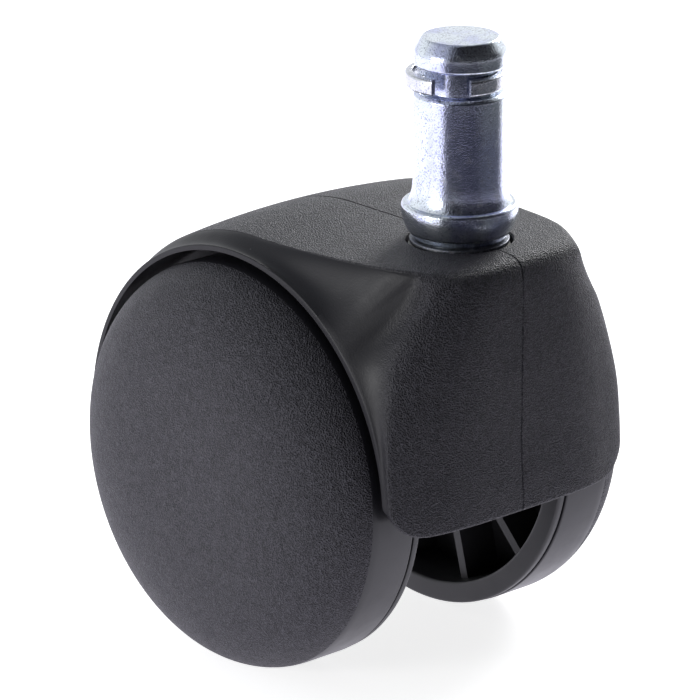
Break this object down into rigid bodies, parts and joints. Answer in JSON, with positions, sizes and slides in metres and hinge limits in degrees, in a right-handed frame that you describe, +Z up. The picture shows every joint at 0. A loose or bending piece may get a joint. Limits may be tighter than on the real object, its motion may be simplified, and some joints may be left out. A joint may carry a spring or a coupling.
{
  "type": "chair caster wheel",
  "caption": "Hooded twin-wheel swivel caster for an office chair, with a plated grip-ring stem that pushes into the chair base.",
  "frame": {"origin": "on the stem's axis, at the plane of the collar's upper ledge that seats against the chair base", "axes": "+Z up along the stem, +X from the wheels' axle towards the stem and the hood's front, Y along the axle with the left wheel at +Y"},
  "size_m": [0.0588, 0.0534, 0.0784],
  "materials": {
    "grained_nylon": "charcoal black nylon with a fine moulded grain",
    "smooth_nylon": "charcoal black nylon, smooth satin",
    "zinc_steel": "bright zinc plate over turned steel, faint blue tint",
    "spring_steel": "plated spring steel",
    "bearing_plastic": "natural acetal, smooth"
  },
  "bodies": {
    "stem": {"stem": "zinc_steel", "stem_retainer": "spring_steel"},
    "grip_ring": {"grip_ring": "spring_steel"},
    "hood": {"hood": "grained_nylon", "stem_washer": "zinc_steel", "stem_bush": "bearing_plastic", "thrust_pad": "bearing_plastic", "axle": "spring_steel", "left_axle_clip": "spring_steel", "right_axle_clip": "spring_steel", "left_spacer": "bearing_plastic", "right_spacer": "bearing_plastic"},
    "left_wheel": {"left_wheel_shell": "grained_nylon", "left_wheel_core": "smooth_nylon", "left_hub_bush": "bearing_plastic"},
    "right_wheel": {"right_wheel_shell": "grained_nylon", "right_wheel_core": "smooth_nylon", "right_hub_bush": "bearing_plastic"}
  },
  "joints": [
    {"name": "hood_swivel", "type": "hinge", "parent": "stem", "child": "hood", "pos_m": [0, 0, 0], "axis": [0, 0, 1], "continuous": true},
    {"name": "left_wheel_spin", "type": "hinge", "parent": "hood", "child": "left_wheel", "pos_m": [-0.0187, 0.0181, -0.0335], "axis": [0, 1, 0], "continuous": true},
    {"name": "right_wheel_spin", "type": "hinge", "parent": "hood", "child": "right_wheel", "pos_m": [-0.0187, -0.0181, -0.0335], "axis": [0, 1, 0], "continuous": true},
    {"name": "grip_ring_turn", "type": "hinge", "parent": "stem", "child": "grip_ring", "pos_m": [0, 0, 0], "axis": [0, 0, 1], "continuous": true}
  ]
}
